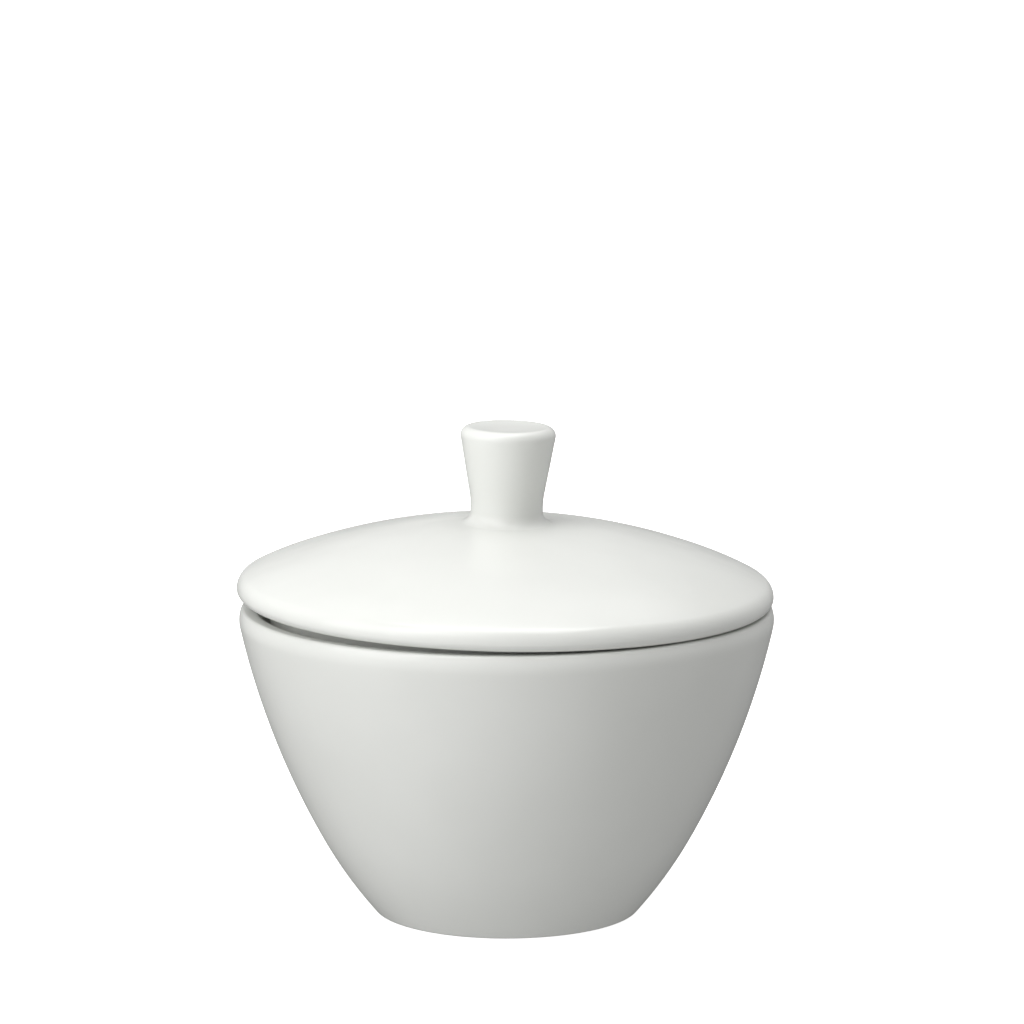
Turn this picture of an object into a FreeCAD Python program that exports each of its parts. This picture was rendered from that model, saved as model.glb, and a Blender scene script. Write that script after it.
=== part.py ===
import FreeCAD, Part
import math
import os

import Sketcher

# Lidded sugar bowl in white glazed porcelain. Two fired pieces: the bowl, and the lid with its knob.
# Millimetres, +Z up. The origin is on the bowl's axis, in the plane that its foot stands on.

# ---------------------------------------------------------------- driving dimensions

SIZES = [
    # Bowl, outside
    ("rim_radius", 55.0, "largest radius of the bowl, just below the rim"),
    ("rim_height", 63.76, "foot plane to the top of the rim"),
    ("foot_radius", 27.1, "outside corner of the foot, before it is rounded"),
    ("lower_wall_radius", 91.9, "profile radius of the lower wall"),
    ("lower_wall_top", 16.52, "height where the lower wall meets the upper wall"),
    ("upper_wall_radius", 164.4, "profile radius of the upper wall"),
    ("upper_wall_top", 59.93, "height where the upper wall turns into the rim shoulder"),
    ("shoulder_radius", 6.0, "profile radius of the rim shoulder"),
    # Bowl, inside and underneath
    ("wall_thickness", 4.2, "wall thickness, square to the surface"),
    ("floor_height", 6.0, "foot plane to the inside floor"),
    ("floor_corner_radius", 14.0, "profile radius between inside floor and wall"),
    ("foot_ring_width", 3.3, "width of the ring that the bowl stands on"),
    ("recess_depth", 1.6, "depth of the recess inside the foot ring"),
    ("recess_draft", 0.8, "how far the recess narrows towards its ceiling"),
    # Bowl, rounded edges
    ("rim_outer_round", 0.8, "rounding of the rim's outer edge"),
    ("rim_inner_round", 1.2, "rounding of the rim's inner edge"),
    ("foot_outer_round", 1.2, "rounding of the foot's outer edge"),
    ("foot_inner_round", 0.6, "rounding of the foot ring's inner edge"),
    ("recess_round", 1.0, "rounding of the recess corner"),
    # Lid plate, heights above its bearing face
    ("lid_radius", 55.2, "largest radius of the lid"),
    ("lid_edge_low", 1.65, "rounding of the lid edge below its widest line"),
    ("lid_edge_high", 3.3, "rounding of the lid edge above its widest line"),
    ("lid_shoulder_radius", 63.0, "profile radius between the edge and the dome"),
    ("dome_radius", 131.0, "profile radius of the dome"),
    ("dome_height", 16.2, "bearing face to the top of the dome"),
    ("plate_thickness", 4.6, "thickness of the domed plate"),
    # Lid flange, which drops into the bowl's mouth
    ("flange_radius", 48.4, "outside radius of the flange at the bearing face"),
    ("flange_depth", 7.0, "bearing face to the lower end of the flange"),
    ("flange_width", 4.0, "width of the flange at its lower end"),
    ("flange_draft", 0.25, "how far each side of the flange leans over its depth"),
    ("flange_round", 1.0, "rounding of the flange's lower edges"),
    ("flange_root_round", 3.0, "rounding where the flange meets the underside"),
    # Knob, heights above the bearing face
    ("knob_radius", 9.77, "largest radius of the knob, at its upper edge"),
    ("knob_height", 35.8, "bearing face to the top of the knob"),
    ("knob_edge_round", 1.8, "rounding of the knob's upper edge"),
    ("knob_dish_radius", 100.0, "profile radius of the shallow dish in the knob's top"),
    ("knob_waist_radius", 7.44, "smallest radius of the knob"),
    ("knob_waist_height", 19.5, "height of the waist"),
    ("knob_waist_curve", 13.5, "profile radius above the waist"),
    ("knob_root_round", 2.4, "rounding where the knob grows out of the dome"),
    # How the loose lid sits: askew, low at the front right and open at the back left
    ("lid_seat_height", 65.2, "foot plane to the centre of the lid's bearing face"),
    ("lid_tilt", 1.35, "tilt of the lid in degrees, 0 when it is seated level"),
    ("lid_lean_azimuth", -35.0, "side that the lid leans down towards, degrees round +Z from +X"),
    ("lid_shift", 0.42, "offset of the lid, away from the side that it leans towards"),
]

doc = FreeCAD.newDocument("SugarBowl")
sheet = doc.addObject("Spreadsheet::Sheet", "Sizes")
for row, (alias, value, meaning) in enumerate(SIZES, 1):
    sheet.set(f"A{row}", meaning)
    sheet.set(f"B{row}", str(value))
    sheet.setAlias(f"B{row}", alias)
doc.recompute()


# ---------------------------------------------------------------- drawing helpers

START, END, CENTRE = 1, 2, 3
ORIGIN = (-1, 1)
V_AXIS = -2


class Piece:
    """One line or arc of an outline, with the two ends in drawing order."""

    def __init__(self, index, first, last):
        self.index = index
        self.first = (index, first)
        self.last = (index, last)
        self.centre = (index, CENTRE)


class Outline:
    """A half outline in a body's XZ plane, turned about Z. Points are (radius, height)."""

    def __init__(self, body, name):
        self.sketch = body.newObject("Sketcher::SketchObject", name)
        plane = next(f for f in body.Origin.OriginFeatures if f.Role == "XZ_Plane")
        self.sketch.AttachmentSupport = [(plane, "")]
        self.sketch.MapMode = "FlatFace"

    def line(self, start, end):
        segment = Part.LineSegment(FreeCAD.Vector(*start, 0), FreeCAD.Vector(*end, 0))
        return Piece(self.sketch.addGeometry(segment, False), START, END)

    def arc(self, start, end, centre):
        """The shorter arc from start to end."""
        radius = math.dist(start, centre)
        angle_a = math.atan2(start[1] - centre[1], start[0] - centre[0])
        angle_b = math.atan2(end[1] - centre[1], end[0] - centre[0])
        turn = (angle_b - angle_a + math.pi) % (2 * math.pi) - math.pi
        circle = Part.Circle(FreeCAD.Vector(*centre, 0), FreeCAD.Vector(0, 0, 1), radius)
        low, high = sorted((angle_a, angle_a + turn))
        index = self.sketch.addGeometry(Part.ArcOfCircle(circle, low, high), False)
        return Piece(index, START, END) if turn > 0 else Piece(index, END, START)

    def rule(self, kind, *where):
        self.sketch.addConstraint(Sketcher.Constraint(kind, *where))

    def corner(self, a, b):
        self.rule("Coincident", *a.last, *b.first)

    def smooth(self, a, b):
        self.rule("Tangent", *a.last, *b.first)

    def on_axis(self, point):
        self.rule("PointOnObject", *point, V_AXIS)

    def size(self, kind, expression, *where):
        """A dimension that follows the sheet."""
        value = float(self.sketch.evalExpression(expression))
        index = self.sketch.addConstraint(Sketcher.Constraint(kind, *where, value))
        self.sketch.setExpression(f"Constraints[{index}]", expression)

    def across(self, expression, point):
        self.size("DistanceX", expression, *ORIGIN, *point)

    def up(self, expression, point):
        self.size("DistanceY", expression, *ORIGIN, *point)

    def radius(self, expression, piece):
        self.size("Radius", expression, piece.index)


def turn(body, outline, name, kind="PartDesign::Revolution"):
    """Turns an outline a full circle about the body's axis."""
    feature = body.newObject(kind, name)
    feature.Profile = outline.sketch
    feature.ReferenceAxis = (outline.sketch, ["V_Axis"])
    feature.Angle = 360.0
    doc.recompute()
    return feature


def round_edge(body, name, expression, *rings):
    """Rounds the circular edges nearest to the given (radius, height) places."""
    base = body.Tip
    circles = [
        (f"Edge{number}", edge.Curve)
        for number, edge in enumerate(base.Shape.Edges, 1)
        if not edge.Degenerated and edge.Closed and isinstance(edge.Curve, Part.Circle)
    ]
    nearest = [
        min(circles, key=lambda c: math.hypot(c[1].Radius - r, c[1].Center.z - z))[0]
        for r, z in rings
    ]
    fillet = body.newObject("PartDesign::Fillet", name)
    fillet.Base = (base, nearest)
    fillet.setExpression("Radius", expression)
    doc.recompute()
    return fillet


# ---------------------------------------------------------------- bowl

bowl = doc.addObject("PartDesign::Body", "Bowl")
bowl.Label = "bowl"

wall = Outline(bowl, "BowlOutline")
foot = wall.line((0.0, 0.0), (26.9, 0.0))
lower = wall.arc((26.9, 0.0), (38.62, 16.74), (-42.04, 60.77))
upper = wall.arc((38.62, 16.74), (54.86, 60.15), (-105.68, 95.51))
shoulder = wall.arc((54.86, 60.15), (54.5, 63.98), (49.0, 61.44))
rim = wall.line((54.5, 63.98), (50.55, 63.98))
inner_upper = wall.arc((50.55, 63.98), (34.23, 19.13), (-105.68, 95.51))
inner_lower = wall.arc((34.23, 19.13), (30.0, 12.17), (-42.04, 60.77))
floor_corner = wall.arc((30.0, 12.17), (18.39, 6.0), (18.39, 20.0))
floor = wall.line((18.39, 6.0), (0.0, 6.0))
core = wall.line((0.0, 6.0), (0.0, 0.0))

wall.rule("Coincident", *foot.first, *ORIGIN)
wall.rule("Horizontal", foot.index)
wall.corner(foot, lower)
wall.smooth(lower, upper)
wall.smooth(upper, shoulder)
wall.corner(shoulder, rim)
wall.rule("Horizontal", rim.index)
wall.corner(rim, inner_upper)
wall.smooth(inner_upper, inner_lower)
wall.smooth(inner_lower, floor_corner)
wall.smooth(floor_corner, floor)
wall.rule("Horizontal", floor.index)
wall.corner(floor, core)
wall.rule("Vertical", core.index)
wall.corner(core, foot)
# The inside follows the outside at an even wall thickness.
wall.rule("Coincident", *inner_upper.centre, *upper.centre)
wall.rule("Coincident", *inner_lower.centre, *lower.centre)
wall.across("Sizes.foot_radius", foot.last)
wall.radius("Sizes.lower_wall_radius", lower)
wall.up("Sizes.lower_wall_top", lower.last)
wall.radius("Sizes.upper_wall_radius", upper)
wall.up("Sizes.upper_wall_top", upper.last)
wall.radius("Sizes.shoulder_radius", shoulder)
wall.across("Sizes.rim_radius - Sizes.shoulder_radius", shoulder.centre)
wall.up("Sizes.rim_height", shoulder.last)
wall.radius("Sizes.lower_wall_radius - Sizes.wall_thickness", inner_lower)
wall.radius("Sizes.floor_corner_radius", floor_corner)
wall.up("Sizes.floor_height", floor.first)
turn(bowl, wall, "TurnedWall")

recess = Outline(bowl, "RecessOutline")
opening = recess.line((0.0, 0.0), (23.6, 0.0))
side = recess.line((23.6, 0.0), (22.8, 1.6))
ceiling = recess.line((22.8, 1.6), (0.0, 1.6))
middle = recess.line((0.0, 1.6), (0.0, 0.0))
recess.rule("Coincident", *opening.first, *ORIGIN)
recess.rule("Horizontal", opening.index)
recess.corner(opening, side)
recess.corner(side, ceiling)
recess.rule("Horizontal", ceiling.index)
recess.corner(ceiling, middle)
recess.rule("Vertical", middle.index)
recess.corner(middle, opening)
recess.across("Sizes.foot_radius - Sizes.foot_ring_width", opening.last)
recess.across("Sizes.foot_radius - Sizes.foot_ring_width - Sizes.recess_draft", side.last)
recess.up("Sizes.recess_depth", side.last)
turn(bowl, recess, "FootRecess", "PartDesign::Groove")

round_edge(bowl, "RimOuterEdge", "Sizes.rim_outer_round", (54.5, 63.98))
round_edge(bowl, "RimInnerEdge", "Sizes.rim_inner_round", (51.35, 63.76))
round_edge(bowl, "FootOuterEdge", "Sizes.foot_outer_round", (26.9, 0.0))
round_edge(bowl, "FootInnerEdge", "Sizes.foot_inner_round", (23.6, 0.0))
round_edge(bowl, "RecessCorner", "Sizes.recess_round", (22.8, 1.6))


# ---------------------------------------------------------------- lid

lid = doc.addObject("PartDesign::Body", "Lid")
lid.Label = "lid"

plate = Outline(lid, "PlateOutline")
underside = plate.arc((0.0, 11.2), (44.2, 3.4), (0.0, -118.2))
flange_in = plate.line((44.2, 3.4), (44.45, -7.0))
flange_end = plate.line((44.45, -7.0), (48.45, -7.0))
flange_out = plate.line((48.45, -7.0), (48.7, 0.0))
bearing = plate.line((48.7, 0.0), (53.55, 0.0))
edge_low = plate.arc((53.55, 0.0), (55.2, 1.65), (53.55, 1.65))
edge_high = plate.arc((55.2, 1.65), (53.35, 4.62), (51.9, 1.65))
lid_shoulder = plate.arc((53.35, 4.62), (48.56, 6.73), (25.69, -52.1))
dome = plate.arc((48.56, 6.73), (0.0, 15.8), (0.0, -118.2))
plate_core = plate.line((0.0, 15.8), (0.0, 11.2))

plate.corner(underside, flange_in)
plate.corner(flange_in, flange_end)
plate.rule("Horizontal", flange_end.index)
plate.corner(flange_end, flange_out)
plate.corner(flange_out, bearing)
plate.rule("Horizontal", bearing.index)
plate.smooth(bearing, edge_low)
plate.smooth(edge_low, edge_high)
plate.smooth(edge_high, lid_shoulder)
plate.smooth(lid_shoulder, dome)
plate.corner(dome, plate_core)
plate.corner(plate_core, underside)
plate.on_axis(dome.centre)
plate.on_axis(dome.last)
plate.on_axis(underside.first)
plate.rule("Coincident", *underside.centre, *dome.centre)
# The widest line of the lid is where its two edge roundings meet.
plate.rule("Horizontal", *edge_low.centre, *edge_high.centre)
plate.rule("DistanceY", *ORIGIN, *bearing.first, 0.0)
plate.across("Sizes.flange_radius", bearing.first)
plate.across("Sizes.flange_radius - Sizes.flange_draft", flange_out.first)
plate.up("-Sizes.flange_depth", flange_out.first)
plate.across("Sizes.flange_radius - Sizes.flange_draft - Sizes.flange_width", flange_in.last)
plate.across("Sizes.flange_radius - 2 * Sizes.flange_draft - Sizes.flange_width", flange_in.first)
plate.across("Sizes.lid_radius - Sizes.lid_edge_low", edge_low.centre)
plate.radius("Sizes.lid_edge_low", edge_low)
plate.radius("Sizes.lid_edge_high", edge_high)
plate.radius("Sizes.lid_shoulder_radius", lid_shoulder)
plate.radius("Sizes.dome_radius", dome)
plate.up("Sizes.dome_height", dome.last)
plate.radius("Sizes.dome_radius - Sizes.plate_thickness", underside)
turn(lid, plate, "TurnedPlate")

knob = Outline(lid, "KnobOutline")
root = knob.line((0.0, 13.5), (7.44, 13.5))
stem = knob.line((7.44, 13.5), (7.44, 19.3))
waist = knob.arc((7.44, 19.3), (7.67, 21.8), (20.94, 19.3))
cone = knob.line((7.67, 21.8), (9.73, 32.73))
knob_edge = knob.arc((9.73, 32.73), (7.93, 35.09), (7.77, 33.1))
dish = knob.arc((7.93, 35.09), (0.0, 34.8), (0.0, 134.8))
knob_core = knob.line((0.0, 34.8), (0.0, 13.5))

knob.on_axis(root.first)
knob.rule("Horizontal", root.index)
knob.corner(root, stem)
knob.rule("Vertical", stem.index)
knob.smooth(stem, waist)
knob.smooth(waist, cone)
knob.smooth(cone, knob_edge)
knob.smooth(knob_edge, dish)
knob.corner(dish, knob_core)
knob.corner(knob_core, root)
knob.on_axis(dish.last)
knob.on_axis(dish.centre)
knob.up("Sizes.dome_height - Sizes.plate_thickness / 2", root.last)
knob.across("Sizes.knob_waist_radius", root.last)
knob.up("Sizes.knob_waist_height", stem.last)
knob.radius("Sizes.knob_waist_curve", waist)
knob.radius("Sizes.knob_edge_round", knob_edge)
knob.across("Sizes.knob_radius - Sizes.knob_edge_round", knob_edge.centre)
knob.up("Sizes.knob_height - Sizes.knob_edge_round", knob_edge.centre)
knob.radius("Sizes.knob_dish_radius", dish)
turn(lid, knob, "TurnedKnob")

round_edge(lid, "KnobRoot", "Sizes.knob_root_round", (7.44, 15.6))
round_edge(lid, "FlangeRoot", "Sizes.flange_root_round", (44.2, 3.4))
round_edge(lid, "FlangeEdges", "Sizes.flange_round", (48.45, -7.0), (44.45, -7.0))

# The lid turns about the level line at right angles to the side that it leans towards.
LEAN_COS = "cos(Sizes.lid_lean_azimuth * 1 deg)"
LEAN_SIN = "sin(Sizes.lid_lean_azimuth * 1 deg)"
SEAT = f"vector(-Sizes.lid_shift * {LEAN_COS}; -Sizes.lid_shift * {LEAN_SIN}; Sizes.lid_seat_height)"
LEAN = f"rotation(vector(-{LEAN_SIN}; {LEAN_COS}; 0); Sizes.lid_tilt)"
lid.setExpression("Placement", f"placement({SEAT}; {LEAN})")


# ---------------------------------------------------------------- checks and export

doc.recompute()
PIECES = [bowl, lid]

for item in doc.Objects:
    if "Invalid" in item.State or "Error" in item.State:
        raise RuntimeError(f"{item.Name} did not recompute: {item.State}")
for outline in (wall, recess, plate, knob):
    if not outline.sketch.FullyConstrained:
        raise RuntimeError(f"{outline.sketch.Name} is not fully constrained")
for piece in PIECES:
    if piece.Shape.isNull() or not piece.Shape.isValid() or len(piece.Shape.Solids) != 1:
        raise RuntimeError(f"{piece.Label} is not one valid solid")

os.makedirs("parts", exist_ok=True)
for piece in PIECES:
    piece.Shape.exportStep(os.path.join("parts", f"{piece.Label}.step"))
    box = piece.Shape.optimalBoundingBox(False)
    print(f"{piece.Label}: {box.XLength:.2f} x {box.YLength:.2f} x {box.ZLength:.2f} mm,"
          f" z {box.ZMin:.2f} to {box.ZMax:.2f}, volume {piece.Shape.Volume / 1000:.1f} ml")
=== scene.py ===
import math

import bpy
from mathutils import Matrix, Vector, noise


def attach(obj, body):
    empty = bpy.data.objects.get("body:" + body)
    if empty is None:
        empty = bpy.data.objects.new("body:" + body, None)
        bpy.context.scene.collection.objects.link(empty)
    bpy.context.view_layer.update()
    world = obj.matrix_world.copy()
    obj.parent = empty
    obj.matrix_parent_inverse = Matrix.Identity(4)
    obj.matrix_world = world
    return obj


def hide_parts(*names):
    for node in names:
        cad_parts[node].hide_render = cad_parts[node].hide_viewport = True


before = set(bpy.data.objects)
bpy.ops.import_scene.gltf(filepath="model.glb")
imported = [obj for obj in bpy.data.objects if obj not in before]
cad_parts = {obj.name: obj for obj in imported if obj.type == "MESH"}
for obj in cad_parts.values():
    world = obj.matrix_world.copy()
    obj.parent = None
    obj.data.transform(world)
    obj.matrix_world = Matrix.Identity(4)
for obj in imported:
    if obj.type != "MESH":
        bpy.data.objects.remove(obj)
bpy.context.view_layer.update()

# A lidded sugar bowl in white glazed porcelain. Both pieces are turned from outlines built like the CAD's
# profiles, in millimetres, so that they can be spun finely, with the glaze's small unevenness.

MM = 0.001


# ---------------------------------------------------------------- turned outlines
# An outline is a chain of circles and straight runs in (radius, height), each touching the next. A
# fillet is a circle whose centre follows from its two neighbours.

def circle(centre, radius):
    return ("circle", Vector(centre), radius)


def level(z):
    return ("level", z)


def slant(start, end):
    return ("slant", Vector(start), Vector(end))


def fillet(radius, near):
    """A rounding between two neighbours. Near tells on which side of each its centre lies."""
    return ("fillet", Vector(near), radius)


def gap(piece, point):
    """Signed distance from a piece to a point, and the direction in which it grows."""
    if piece[0] == "circle":
        away = point - piece[1]
        return away.length - piece[2], away.normalized()
    if piece[0] == "level":
        return point.y - piece[1], Vector((0.0, 1.0))
    along = (piece[2] - piece[1]).normalized()
    square = Vector((-along.y, along.x))
    return (point - piece[1]).dot(square), square


def settle(before, rounding, after):
    """The circle of a fillet: its centre is moved until both neighbours are one radius away."""
    centre, radius = rounding[1].copy(), rounding[2]
    sides = [math.copysign(radius, gap(piece, centre)[0]) for piece in (before, after)]
    for _ in range(20):
        (d1, n1), (d2, n2) = gap(before, centre), gap(after, centre)
        e1, e2 = sides[0] - d1, sides[1] - d2
        cross = n1.x * n2.y - n1.y * n2.x
        centre += Vector((e1 * n2.y - e2 * n1.y, e2 * n1.x - e1 * n2.x)) / cross
    return circle(centre, radius)


def touch(a, b):
    """The point where two neighbours of an outline touch."""
    if a[0] != "circle":
        a, b = b, a
    centre, radius = a[1], a[2]
    if b[0] == "level":
        return Vector((centre.x, b[1]))
    if b[0] == "slant":
        along = (b[2] - b[1]).normalized()
        return b[1] + along * (centre - b[1]).dot(along)
    towards = (b[1] - centre).normalized() * radius
    return min((centre + towards, centre - towards), key=lambda p: abs((p - b[1]).length - b[2]))


def outline(start, pieces, end, step=1.2, bend=0.12):
    """[(point, piece number)] from start to end, each stretch within a step and a bend in radians."""
    pieces = [settle(pieces[n - 1], piece, pieces[n + 1]) if piece[0] == "fillet" else piece
              for n, piece in enumerate(pieces)]
    knots = [Vector(start)]
    knots += [touch(a, b) for a, b in zip(pieces, pieces[1:])]
    knots += [Vector(end)]
    points = [(knots[0], 0)]
    for number, (piece, a, b) in enumerate(zip(pieces, knots, knots[1:])):
        if piece[0] == "circle":
            centre, radius = piece[1], piece[2]
            first = math.atan2(a.y - centre.y, a.x - centre.x)
            turn = math.atan2(b.y - centre.y, b.x - centre.x) - first
            turn = (turn + math.pi) % (2 * math.pi) - math.pi
            n = max(math.ceil(abs(turn) * radius / step), math.ceil(abs(turn) / bend))
            angles = [first + turn * i / n for i in range(1, n + 1)]
            points += [(centre + radius * Vector((math.cos(t), math.sin(t))), number) for t in angles]
        else:
            n = math.ceil((b - a).length / step)
            points += [(a.lerp(b, i / n), number) for i in range(1, n + 1)]
    return points


# ---------------------------------------------------------------- bowl outline

RIM_RADIUS = 55.0
RIM = 63.76
FOOT = 27.1
LOWER_R = 91.9
LOWER_TOP = 16.52
UPPER_R = 164.4
UPPER_TOP = 59.93
SHOULDER_R = 6.0
WALL = 4.2
FLOOR = 6.0
RECESS = 1.6
RECESS_EDGE = FOOT - 3.3
RECESS_DRAFT = 0.8
RECESS_ROUND = 1.0
RING_INNER_ROUND = 0.6
FOOT_ROUND = 1.2
RIM_OUTER_ROUND = 0.8
RIM_INNER_ROUND = 1.2
FLOOR_ROUND = 14.0


def wall_centres(slope):
    """Centres of the lower wall, upper wall and shoulder, for a slope where the last two touch."""
    shoulder = Vector((RIM_RADIUS - SHOULDER_R, UPPER_TOP + SHOULDER_R * math.sin(slope)))
    upper = shoulder - Vector((math.cos(slope), -math.sin(slope))) * (UPPER_R - SHOULDER_R)
    rise = (upper.y - LOWER_TOP) / UPPER_R
    lower = upper + Vector((math.sqrt(1.0 - rise ** 2), -rise)) * (UPPER_R - LOWER_R)
    return lower, upper, shoulder


def fit_wall():
    """The wall centres whose lower arc runs through the corner of the foot."""
    shallow, steep = 0.0, 0.6
    for _ in range(40):
        slope = (shallow + steep) / 2.0
        if (Vector((FOOT, 0.0)) - wall_centres(slope)[0]).length < LOWER_R:
            shallow = slope
        else:
            steep = slope
    return wall_centres(slope)


LOWER, UPPER, SHOULDER = fit_wall()

BOWL = outline(
    (0.0, RECESS),
    [
        level(RECESS),
        fillet(RECESS_ROUND, (RECESS_EDGE - 1.4, RECESS - RECESS_ROUND)),
        slant((RECESS_EDGE - RECESS_DRAFT, RECESS), (RECESS_EDGE, 0.0)),
        fillet(RING_INNER_ROUND, (RECESS_EDGE + 0.4, RING_INNER_ROUND)),
        level(0.0),
        fillet(FOOT_ROUND, (FOOT - 0.6, FOOT_ROUND)),
        circle(LOWER, LOWER_R),
        circle(UPPER, UPPER_R),
        circle(SHOULDER, SHOULDER_R),
        fillet(RIM_OUTER_ROUND, (RIM_RADIUS - 1.1, RIM - RIM_OUTER_ROUND)),
        level(RIM),
        fillet(RIM_INNER_ROUND, (RIM_RADIUS - 2.7, RIM - RIM_INNER_ROUND)),
        circle(UPPER, UPPER_R - WALL),
        circle(LOWER, LOWER_R - WALL),
        fillet(FLOOR_ROUND, (FOOT - 8.0, FLOOR + FLOOR_ROUND)),
        level(FLOOR),
    ],
    (0.0, FLOOR),
)
# The level run that the bowl stands on, between its two small roundings, is left unglazed.
FOOT_RUN = (4,)


# ---------------------------------------------------------------- lid outline, from its bearing face

LID_RADIUS = 55.2
EDGE_LOW = 1.65
EDGE_HIGH = 3.3
LID_SHOULDER = 63.0
DOME_R = 131.0
DOME_TOP = 16.2
PLATE = 4.6
FLANGE = 48.4
FLANGE_DEPTH = 7.0
FLANGE_WIDTH = 4.0
FLANGE_DRAFT = 0.25
FLANGE_ROUND = 1.0
FLANGE_ROOT_ROUND = 3.0
GLAZE_ROUND = 0.6
KNOB_RADIUS = 9.77
KNOB_TOP = 35.8
KNOB_EDGE = 1.8
KNOB_WAIST = 7.44
KNOB_WAIST_Z = 19.5
WAIST_CURVE = 13.5
DISH_R = 100.0
KNOB_ROOT_ROUND = 2.4


def flank(waist, edge):
    """The straight run that leaves the hollow waist circle and meets the knob's edge circle."""
    across = edge[1] - waist[1]
    lean = -(waist[2] + edge[2]) / across.length
    along = across.normalized()
    out = along * lean + Vector((along.y, -along.x)) * math.sqrt(1.0 - lean ** 2)
    return slant(waist[1] - out * waist[2], edge[1] + out * edge[2])


def bridge(small, large, radius):
    """The circle around a small circle and inside a large one that touches both, on their upper side."""
    reach, rest = radius - small[2], large[2] - radius
    across = large[1] - small[1]
    along = across.normalized()
    run = (reach ** 2 - rest ** 2 + across.length ** 2) / (2.0 * across.length)
    rise = math.sqrt(reach ** 2 - run ** 2)
    return circle(small[1] + along * run + Vector((along.y, -along.x)) * rise, radius)


dome_centre = Vector((0.0, DOME_TOP - DOME_R))
dome = circle(dome_centre, DOME_R)
edge_high = circle((LID_RADIUS - EDGE_HIGH, EDGE_LOW), EDGE_HIGH)
flange_tip = FLANGE - FLANGE_DRAFT
flange_inside = flange_tip - FLANGE_WIDTH
flange_root = flange_inside - FLANGE_DRAFT
flange_root_z = dome_centre.y + math.sqrt((DOME_R - PLATE) ** 2 - flange_root ** 2)
knob_edge = circle((KNOB_RADIUS - KNOB_EDGE, KNOB_TOP - KNOB_EDGE), KNOB_EDGE)
knob_waist = circle((KNOB_WAIST + WAIST_CURVE, KNOB_WAIST_Z), WAIST_CURVE)
dish_centre = knob_edge[1].y + math.sqrt((DISH_R + KNOB_EDGE) ** 2 - knob_edge[1].x ** 2)

LID = outline(
    (0.0, DOME_TOP - PLATE),
    [
        circle(dome_centre, DOME_R - PLATE),
        fillet(FLANGE_ROOT_ROUND, (flange_inside - 3.2, 1.6)),
        slant((flange_root, flange_root_z), (flange_inside, -FLANGE_DEPTH)),
        fillet(FLANGE_ROUND, (flange_inside + FLANGE_ROUND, FLANGE_ROUND - FLANGE_DEPTH)),
        level(-FLANGE_DEPTH),
        fillet(FLANGE_ROUND, (flange_tip - FLANGE_ROUND, FLANGE_ROUND - FLANGE_DEPTH)),
        slant((flange_tip, -FLANGE_DEPTH), (FLANGE, 0.0)),
        fillet(GLAZE_ROUND, (FLANGE + GLAZE_ROUND, -GLAZE_ROUND)),
        level(0.0),
        circle((LID_RADIUS - EDGE_LOW, EDGE_LOW), EDGE_LOW),
        edge_high,
        bridge(edge_high, dome, LID_SHOULDER),
        dome,
        fillet(KNOB_ROOT_ROUND, (KNOB_WAIST + KNOB_ROOT_ROUND, 18.2)),
        slant((KNOB_WAIST, 0.0), (KNOB_WAIST, KNOB_WAIST_Z)),
        knob_waist,
        flank(knob_waist, knob_edge),
        knob_edge,
        circle((0.0, dish_centre), DISH_R),
    ],
    (0.0, dish_centre - DISH_R),
)
# The lid was fired standing on its flange, so the level run at the flange's lower end is unglazed.
FLANGE_RUN = (4,)

# How the loose lid sits: it leans down to the front right and has slid a little the other way.
LEAN = math.radians(-35.0)
TILT = math.radians(1.35)
SLID = 0.42
SEAT = 65.2
LID_PLACE = (
    Matrix.Translation((-SLID * math.cos(LEAN), -SLID * math.sin(LEAN), SEAT))
    @ Matrix.Rotation(TILT, 4, Vector((-math.sin(LEAN), math.cos(LEAN), 0.0)))
)


# ---------------------------------------------------------------- spinning

TURNS = 240
WANDER = 0.05
WANDER_SPAN = 26.0
# The noise follows the clock until it is seeded.
noise.seed_set(5)


def spin(name, points, bare_runs, place, seed):
    """A mesh turned about Z from an outline that starts and ends on the axis, bare runs in slot 1."""
    inner = points[1:-1]
    verts = [Vector((0.0, 0.0, points[0][0].y))]
    for p, _ in inner:
        verts += [Vector((p.x * math.cos(t), p.x * math.sin(t), p.y))
                  for t in (2 * math.pi * k / TURNS for k in range(TURNS))]
    verts.append(Vector((0.0, 0.0, points[-1][0].y)))
    faces, slots = [], []
    last = len(verts) - 1
    for k in range(TURNS):
        after = (k + 1) % TURNS
        faces.append((0, 1 + after, 1 + k))
        slots.append(0)
        for i in range(len(inner) - 1):
            a, b = 1 + i * TURNS, 1 + (i + 1) * TURNS
            faces.append((a + k, a + after, b + after, b + k))
            slots.append(1 if inner[i + 1][1] in bare_runs else 0)
        top = 1 + (len(inner) - 1) * TURNS
        faces.append((top + k, top + after, last))
        slots.append(0)
    mesh = bpy.data.meshes.new(name)
    placed = []
    for v in verts:
        # Hand-finished clay: a slow wander of a few hundredths of a millimetre.
        wander = noise.noise_vector(v / WANDER_SPAN + Vector((seed, 0.0, 0.0))) * WANDER
        placed.append((place @ (v + wander)) * MM)
    mesh.from_pydata(placed, [], faces)
    mesh.polygons.foreach_set("material_index", slots)
    mesh.polygons.foreach_set("use_smooth", [True] * len(faces))
    mesh.update()
    piece = bpy.data.objects.new(name, mesh)
    bpy.context.scene.collection.objects.link(piece)
    return piece


# ---------------------------------------------------------------- materials

def new_material(name):
    material = bpy.data.materials.new(name)
    material.use_nodes = True
    nodes, links = material.node_tree.nodes, material.node_tree.links
    shader = nodes["Principled BSDF"]
    place = nodes.new("ShaderNodeTexCoord")
    return material, nodes, links, shader, place


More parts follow.
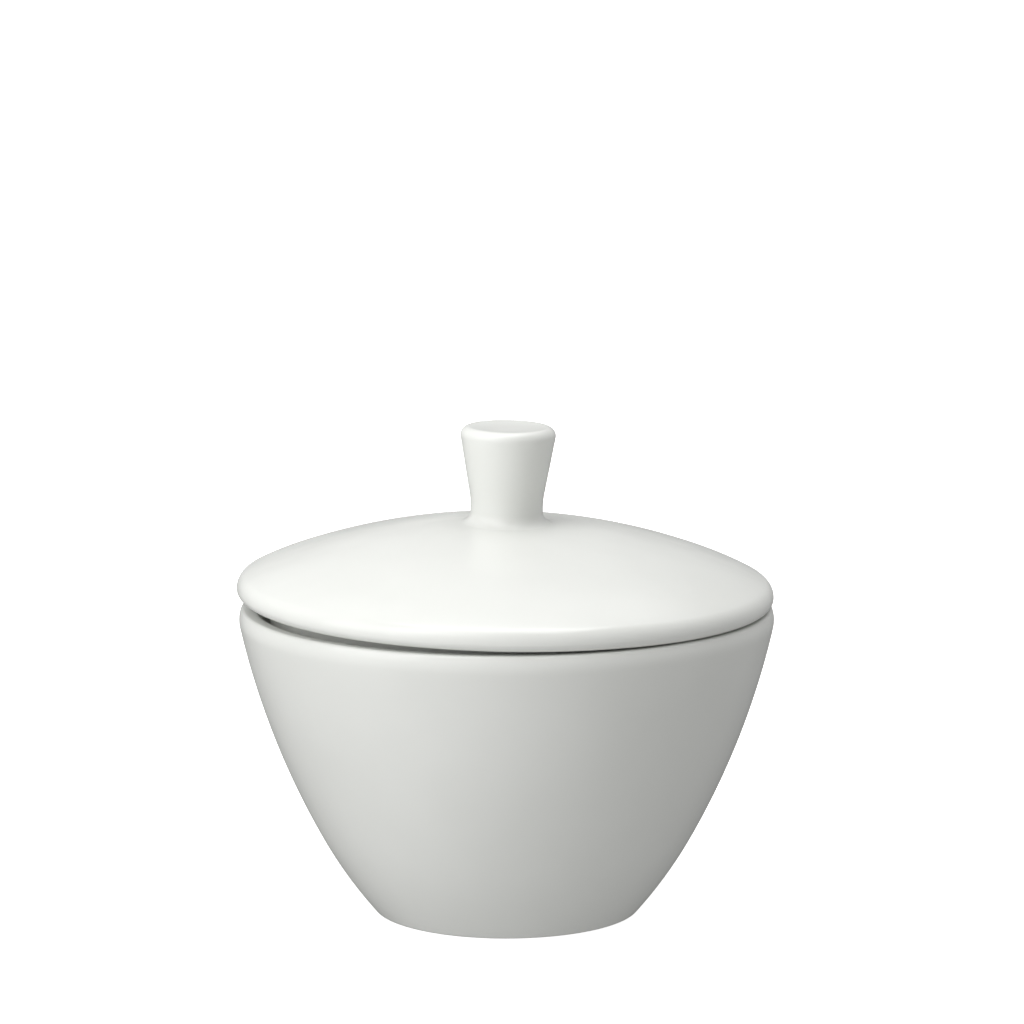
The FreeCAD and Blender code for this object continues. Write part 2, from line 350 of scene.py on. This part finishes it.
def add_noise(nodes, links, place, scale, detail, roughness=0.5):
    texture = nodes.new("ShaderNodeTexNoise")
    texture.inputs["Scale"].default_value = scale
    texture.inputs["Detail"].default_value = detail
    texture.inputs["Roughness"].default_value = roughness
    links.new(place.outputs["Object"], texture.inputs["Vector"])
    return texture


def add_range(nodes, links, source, low, high):
    """Maps the middle part of a noise's spread onto the range from low to high."""
    remap = nodes.new("ShaderNodeMapRange")
    remap.inputs["From Min"].default_value = 0.35
    remap.inputs["From Max"].default_value = 0.65
    remap.inputs["To Min"].default_value = low
    remap.inputs["To Max"].default_value = high
    links.new(source.outputs["Fac"], remap.inputs["Value"])
    return remap


def add_mix(nodes, links, factor, first, second):
    mix = nodes.new("ShaderNodeMix")
    mix.data_type = "RGBA"
    mix.inputs["A"].default_value = (*first, 1.0)
    mix.inputs["B"].default_value = (*second, 1.0)
    links.new(factor.outputs["Result"], mix.inputs["Factor"])
    return mix


def glaze():
    """Clear glaze over white porcelain: barely uneven in tone, thickness and gloss."""
    material, nodes, links, shader, place = new_material("white_glaze")
    tone = add_range(nodes, links, add_noise(nodes, links, place, 34.0, 2.0), 0.0, 1.0)
    colour = add_mix(nodes, links, tone, (0.748, 0.758, 0.727), (0.771, 0.781, 0.750))
    links.new(colour.outputs["Result"], shader.inputs["Base Color"])
    gloss = add_range(nodes, links, add_noise(nodes, links, place, 60.0, 3.0), 0.18, 0.25)
    links.new(gloss.outputs["Result"], shader.inputs["Roughness"])
    shader.inputs["IOR"].default_value = 1.5
    waves = add_noise(nodes, links, place, 45.0, 1.0)
    bump = nodes.new("ShaderNodeBump")
    bump.inputs["Strength"].default_value = 0.25
    bump.inputs["Distance"].default_value = 0.0004
    links.new(waves.outputs["Fac"], bump.inputs["Height"])
    links.new(bump.outputs["Normal"], shader.inputs["Normal"])
    return material


def bare():
    """Unglazed porcelain: matte, a little darker and finely grained."""
    material, nodes, links, shader, place = new_material("bare_porcelain")
    tone = add_range(nodes, links, add_noise(nodes, links, place, 900.0, 4.0, 0.6), 0.0, 1.0)
    colour = add_mix(nodes, links, tone, (0.62, 0.60, 0.55), (0.74, 0.72, 0.67))
    links.new(colour.outputs["Result"], shader.inputs["Base Color"])
    grit = add_noise(nodes, links, place, 2600.0, 3.0, 0.6)
    rough = add_range(nodes, links, grit, 0.75, 0.92)
    links.new(rough.outputs["Result"], shader.inputs["Roughness"])
    bump = nodes.new("ShaderNodeBump")
    bump.inputs["Strength"].default_value = 0.5
    bump.inputs["Distance"].default_value = 0.0001
    links.new(grit.outputs["Fac"], bump.inputs["Height"])
    links.new(bump.outputs["Normal"], shader.inputs["Normal"])
    return material


GLAZE = glaze()
BARE = bare()

bowl = spin("bowl_turned", BOWL, FOOT_RUN, Matrix.Identity(4), 3.0)
lid = spin("lid_turned", LID, FLANGE_RUN, LID_PLACE, 11.0)
for piece, body, slot in ((bowl, "bowl", "bowl_glaze"), (lid, "lid", "lid_glaze")):
    piece.data.materials.append(GLAZE)
    piece.data.materials.append(BARE)
    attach(piece, body)
    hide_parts(body)


# ---------------------------------------------------------------- floor and backdrop

def paper():
    """White background paper, lit from behind so that it stays even."""
    material, nodes, links, shader, place = new_material("white_paper")
    tone = add_range(nodes, links, add_noise(nodes, links, place, 300.0, 3.0), 0.0, 1.0)
    colour = add_mix(nodes, links, tone, (0.90, 0.90, 0.90), (0.93, 0.93, 0.93))
    links.new(colour.outputs["Result"], shader.inputs["Base Color"])
    shader.inputs["Roughness"].default_value = 0.9
    shader.inputs["Specular IOR Level"].default_value = 0.1
    shader.inputs["Emission Color"].default_value = (1.0, 1.0, 1.0, 1.0)
    shader.inputs["Emission Strength"].default_value = 0.8
    return material


def stage_mesh(name, verts, faces, material):
    """Part of the studio. Its light on the bowl is in the soft fill, so here it is only seen."""
    mesh = bpy.data.meshes.new(name)
    mesh.from_pydata(verts, [], faces)
    mesh.materials.append(material)
    piece = bpy.data.objects.new(name, mesh)
    bpy.context.scene.collection.objects.link(piece)
    piece.visible_diffuse = False
    piece.visible_glossy = False
    piece.visible_shadow = False


# The floor's top is a tenth of a millimetre under the foot, clear of its bare ring. The backdrop is a
# round wall on the floor, with a ceiling.
PAPER = paper()
WALL_TURNS = 64
ROOM = 4.0
DROP = -0.0001
ring = [(ROOM * math.cos(2 * math.pi * k / WALL_TURNS), ROOM * math.sin(2 * math.pi * k / WALL_TURNS))
        for k in range(WALL_TURNS)]
stage_mesh("floor", [(x, y, DROP) for x, y in ring], [tuple(range(WALL_TURNS))], PAPER)
stage_mesh(
    "backdrop",
    [(x, y, z) for z in (DROP, ROOM) for x, y in ring],
    [(k, (k + 1) % WALL_TURNS, WALL_TURNS + (k + 1) % WALL_TURNS, WALL_TURNS + k) for k in range(WALL_TURNS)]
    + [tuple(range(WALL_TURNS, 2 * WALL_TURNS))],
    PAPER,
)


# ---------------------------------------------------------------- lights and camera
# Azimuths are from the front, positive to the right. All angles are in degrees.

LIGHT_DISTANCE = 1.3
AIM_HEIGHT = 0.06


def direction(azimuth, elevation):
    a, e = math.radians(azimuth), math.radians(elevation)
    return Vector((math.sin(a) * math.cos(e), -math.cos(a) * math.cos(e), math.sin(e)))


def soft_box(name, azimuth, elevation, width, height, watts):
    """A soft box aimed at the middle of the bowl."""
    data = bpy.data.lights.new(name, "AREA")
    data.shape = "RECTANGLE"
    data.size = width
    data.size_y = height
    data.energy = watts
    lamp = bpy.data.objects.new(name, data)
    away = direction(azimuth, elevation)
    lamp.location = Vector((0.0, 0.0, AIM_HEIGHT)) + away * LIGHT_DISTANCE
    lamp.rotation_euler = away.to_track_quat("Z", "Y").to_euler()
    bpy.context.scene.collection.objects.link(lamp)


soft_box("key", -36.0, 55.0, 0.7, 0.7, 3.6)
soft_box("front_left", -30.0, 30.0, 1.0, 1.0, 2.0)
soft_box("side_left", -60.0, 30.0, 1.0, 1.0, 5.5)
soft_box("overhead", 0.0, 89.9, 0.9, 0.9, 9.3)
soft_box("high_right", 140.0, 60.0, 0.8, 0.8, 0.8)
soft_box("high_back", 180.0, 60.0, 1.0, 0.6, 0.8)


PATCH_FOCUS = 3.0


def soft_fill(patches):
    """A white world with broad soft patches of light: azimuth, elevation and strength of each."""
    world = bpy.data.worlds.new("studio")
    bpy.context.scene.world = world
    world.use_nodes = True
    nodes, links = world.node_tree.nodes, world.node_tree.links
    background = nodes["Background"]
    background.inputs["Color"].default_value = (1.0, 1.0, 1.0, 1.0)
    place = nodes.new("ShaderNodeTexCoord")
    total = background.inputs["Strength"]
    for azimuth, elevation, strength in patches:
        towards = nodes.new("ShaderNodeVectorMath")
        towards.operation = "DOT_PRODUCT"
        towards.inputs[1].default_value = direction(azimuth, elevation)
        links.new(place.outputs["Generated"], towards.inputs[0])
        facing = nodes.new("ShaderNodeMath")
        facing.operation = "MAXIMUM"
        facing.inputs[1].default_value = 0.0
        links.new(towards.outputs["Value"], facing.inputs[0])
        falloff = nodes.new("ShaderNodeMath")
        falloff.operation = "POWER"
        falloff.inputs[1].default_value = PATCH_FOCUS
        links.new(facing.outputs[0], falloff.inputs[0])
        add = nodes.new("ShaderNodeMath")
        add.operation = "MULTIPLY_ADD"
        add.inputs[1].default_value = strength
        add.inputs[2].default_value = 0.0
        links.new(falloff.outputs[0], add.inputs[0])
        links.new(add.outputs[0], total)
        total = add.inputs[2]


soft_fill((
    (-45.0, -15.0, 1.0),
    (-90.0, -20.0, 0.2),
    (0.0, -15.0, 0.55),
    (90.0, -15.0, 0.55),
    (-135.0, 20.0, 0.55),
    (135.0, 20.0, 0.6),
))
bpy.context.scene.view_settings.view_transform = "Standard"

CAMERA_LENS = 173.77
CAMERA_PLACE = Vector((1.09, -1000.0, 251.73)) * MM
CAMERA_DOWN = 0.167
camera_data = bpy.data.cameras.new("camera")
camera_data.sensor_width = 36.0
camera_data.lens = CAMERA_LENS
camera_data.clip_start = 0.05
camera_data.clip_end = 20.0
camera = bpy.data.objects.new("camera", camera_data)
camera.location = CAMERA_PLACE
camera.rotation_euler = (math.pi / 2 - CAMERA_DOWN, 0.0, 0.0)
bpy.context.scene.collection.objects.link(camera)
bpy.context.scene.camera = camera
